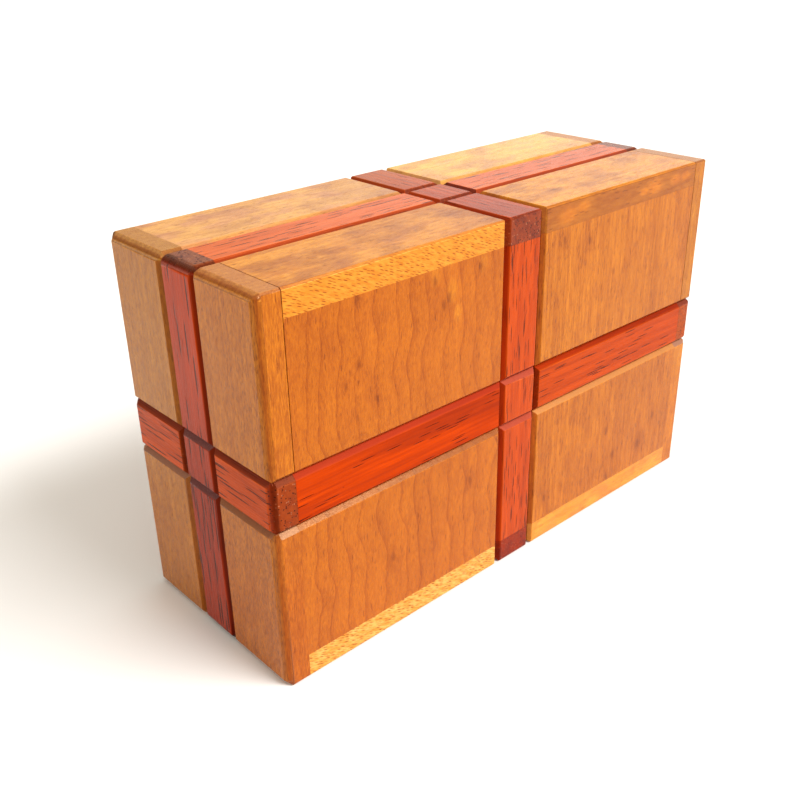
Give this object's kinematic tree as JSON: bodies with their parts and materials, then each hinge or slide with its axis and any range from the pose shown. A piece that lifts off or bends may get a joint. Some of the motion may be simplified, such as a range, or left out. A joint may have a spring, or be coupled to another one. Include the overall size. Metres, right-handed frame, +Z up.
{
  "type": "puzzle box",
  "caption": "Wooden puzzle box with crossing contrast bands and V-grooves; both halves slide off a hidden tray once their end keys and lock pins are worked.",
  "frame": {"origin": "middle of the underside, on the surface that the box stands on", "axes": "+X along the length, -Y out of the front long face with the keys nearest to it, +Z up"},
  "size_m": [0.1524, 0.0572, 0.0953],
  "materials": {
    "cherry": "oiled satin",
    "padauk": "oiled satin",
    "maple": "matt, sanded",
    "brass": "turned"
  },
  "bodies": {
    "core": {"hoop_top_strip": "padauk", "hoop_bottom_strip": "padauk", "hoop_front_strip": "padauk", "hoop_back_strip": "padauk", "tray_floor": "maple", "tray_front_wall": "maple", "tray_back_wall": "maple", "tray_left_end_block": "maple", "tray_right_end_block": "maple"},
    "left_half": {"left_front_lower_bottom_board": "cherry", "left_front_lower_face_board": "cherry", "left_front_lower_end_board": "cherry", "left_front_upper_top_board": "cherry", "left_front_upper_face_board": "cherry", "left_back_lower_bottom_board": "cherry", "left_back_lower_face_board": "cherry", "left_back_lower_end_board": "cherry", "left_back_upper_top_board": "cherry", "left_back_upper_face_board": "cherry", "left_back_upper_end_board": "cherry", "left_front_arm": "padauk", "left_back_arm": "padauk", "left_top_arm": "padauk", "left_bottom_arm": "padauk", "left_end_front_arm": "padauk", "left_end_back_arm": "padauk", "left_end_strip": "padauk"},
    "right_half": {"right_front_lower_bottom_board": "cherry", "right_front_lower_face_board": "cherry", "right_front_lower_end_board": "cherry", "right_front_upper_top_board": "cherry", "right_front_upper_face_board": "cherry", "right_back_lower_bottom_board": "cherry", "right_back_lower_face_board": "cherry", "right_back_lower_end_board": "cherry", "right_back_upper_top_board": "cherry", "right_back_upper_face_board": "cherry", "right_back_upper_end_board": "cherry", "right_front_arm": "padauk", "right_back_arm": "padauk", "right_top_arm": "padauk", "right_bottom_arm": "padauk", "right_end_front_arm": "padauk", "right_end_back_arm": "padauk", "right_end_strip": "padauk"},
    "left_key": {"left_key_board": "cherry"},
    "right_key": {"right_key_board": "cherry"},
    "left_pin": {"left_lock_pin": "brass"},
    "right_pin": {"right_lock_pin": "brass"}
  },
  "joints": [
    {"name": "left_half_slide", "type": "slide", "parent": "core", "child": "left_half", "axis": [-1, 0, 0], "range_m": [0, 0.066]},
    {"name": "right_half_slide", "type": "slide", "parent": "core", "child": "right_half", "axis": [1, 0, 0], "range_m": [0, 0.066]},
    {"name": "left_key_slide", "type": "slide", "parent": "left_half", "child": "left_key", "axis": [0, 0, 1], "range_m": [0, 0.01]},
    {"name": "right_key_slide", "type": "slide", "parent": "right_half", "child": "right_key", "axis": [0, 0, 1], "range_m": [0, 0.01]},
    {"name": "left_pin_slide", "type": "slide", "parent": "core", "child": "left_pin", "axis": [0, -1, 0], "range_m": [0, 0.004]},
    {"name": "right_pin_slide", "type": "slide", "parent": "core", "child": "right_pin", "axis": [0, -1, 0], "range_m": [0, 0.004]}
  ]
}
